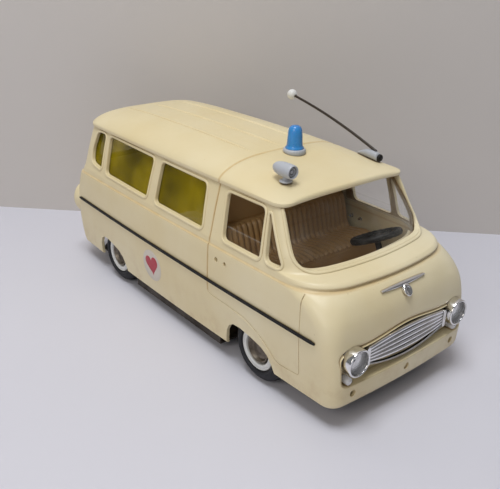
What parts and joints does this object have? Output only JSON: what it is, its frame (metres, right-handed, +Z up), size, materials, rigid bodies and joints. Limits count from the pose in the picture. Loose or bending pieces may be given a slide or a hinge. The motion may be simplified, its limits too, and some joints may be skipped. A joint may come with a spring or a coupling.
{
  "type": "toy ambulance van",
  "caption": "Cream plastic toy ambulance van with wrap-round windscreen, yellow side glazing, separate roof, rooftop beacon, swivelling searchlight, and flywheel drive to the rear wheels.",
  "frame": {"origin": "on the ground, half way along and half way across the van", "axes": "+Z up, +Y to the rear along the van, +X to its own left, the steering side"},
  "size_m": [0.0918, 0.222, 0.1096],
  "materials": {
    "cream_plastic": "semi-gloss, moulded",
    "grey_plastic": "satin, moulded",
    "black_plastic": "semi-gloss",
    "white_plastic": "satin",
    "blue_plastic": "glossy, slightly translucent",
    "red_plastic": "glossy, translucent",
    "clear_plastic": "clear, slightly yellowed",
    "yellow_plastic": "clear, tinted yellow",
    "tyre_rubber": "matt",
    "plated_plastic": "bright, vacuum plated",
    "tin_sheet": "dull, aged",
    "steel": "bright"
  },
  "bodies": {
    "van_body": {"antenna_ball": "white_plastic", "antenna_foot": "grey_plastic", "antenna_plug": "black_plastic", "antenna_rod": "black_plastic", "beacon_base": "grey_plastic", "beacon_dome": "blue_plastic", "body_shell": "cream_plastic", "cab_interior": "cream_plastic", "chassis_plate": "tin_sheet", "chassis_screw_front": "steel", "chassis_screw_rear": "steel", "dashboard": "cream_plastic", "door_handle_left": "plated_plastic", "grille_back": "black_plastic", "grille_ribs": "plated_plastic", "headlight_bezel_left": "plated_plastic", "headlight_bezel_right": "plated_plastic", "headlight_lens_left": "clear_plastic", "headlight_lens_right": "clear_plastic", "indicator_left": "clear_plastic", "indicator_right": "clear_plastic", "motor_frame": "grey_plastic", "nose_bar": "plated_plastic", "rear_glazing": "yellow_plastic", "roof_shell": "cream_plastic", "side_glazing_left": "yellow_plastic", "side_glazing_right": "yellow_plastic", "tail_lamp_left": "red_plastic", "tail_lamp_right": "red_plastic", "trim_strip_left": "black_plastic", "trim_strip_right": "black_plastic", "windscreen": "clear_plastic"},
    "front_wheels": {"front_axle": "steel", "hub_cap_front_left": "tin_sheet", "hub_cap_front_right": "tin_sheet", "rim_front_left": "white_plastic", "rim_front_right": "white_plastic", "tyre_front_left": "tyre_rubber", "tyre_front_right": "tyre_rubber"},
    "rear_wheels": {"axle_gear": "white_plastic", "hub_cap_rear_left": "tin_sheet", "hub_cap_rear_right": "tin_sheet", "rear_axle": "steel", "rim_rear_left": "white_plastic", "rim_rear_right": "white_plastic", "tyre_rear_left": "tyre_rubber", "tyre_rear_right": "tyre_rubber"},
    "layshaft": {"layshaft": "steel", "layshaft_gear": "white_plastic"},
    "flywheel": {"flywheel_shaft": "steel", "flywheel": "steel"},
    "steering": {"steering_wheel": "black_plastic"},
    "searchlight": {"searchlight": "grey_plastic"}
  },
  "joints": [
    {"name": "front_axle_spin", "type": "hinge", "parent": "van_body", "child": "front_wheels", "pos_m": [0, -0.061, 0.016], "axis": [1, 0, 0], "continuous": true},
    {"name": "rear_axle_spin", "type": "hinge", "parent": "van_body", "child": "rear_wheels", "pos_m": [0, 0.061, 0.016], "axis": [1, 0, 0], "continuous": true},
    {"name": "layshaft_spin", "type": "hinge", "parent": "van_body", "child": "layshaft", "pos_m": [0, 0.05021, 0.02126], "axis": [1, 0, 0], "continuous": true},
    {"name": "flywheel_spin", "type": "hinge", "parent": "van_body", "child": "flywheel", "pos_m": [0, 0.04051, 0.02368], "axis": [1, 0, 0], "continuous": true},
    {"name": "steering_wheel_turn", "type": "hinge", "parent": "van_body", "child": "steering", "pos_m": [0.0212, -0.0696, 0.0564], "axis": [0, 0.4226, 0.9063], "continuous": true},
    {"name": "searchlight_swivel", "type": "hinge", "parent": "van_body", "child": "searchlight", "pos_m": [-0.0245, -0.0565, 0.0905], "axis": [0, 0, 1], "continuous": true}
  ],
  "couplings": [
    {"joint": "layshaft_spin", "follows": "rear_axle_spin", "ratio": -3},
    {"joint": "flywheel_spin", "follows": "rear_axle_spin", "ratio": 9}
  ]
}
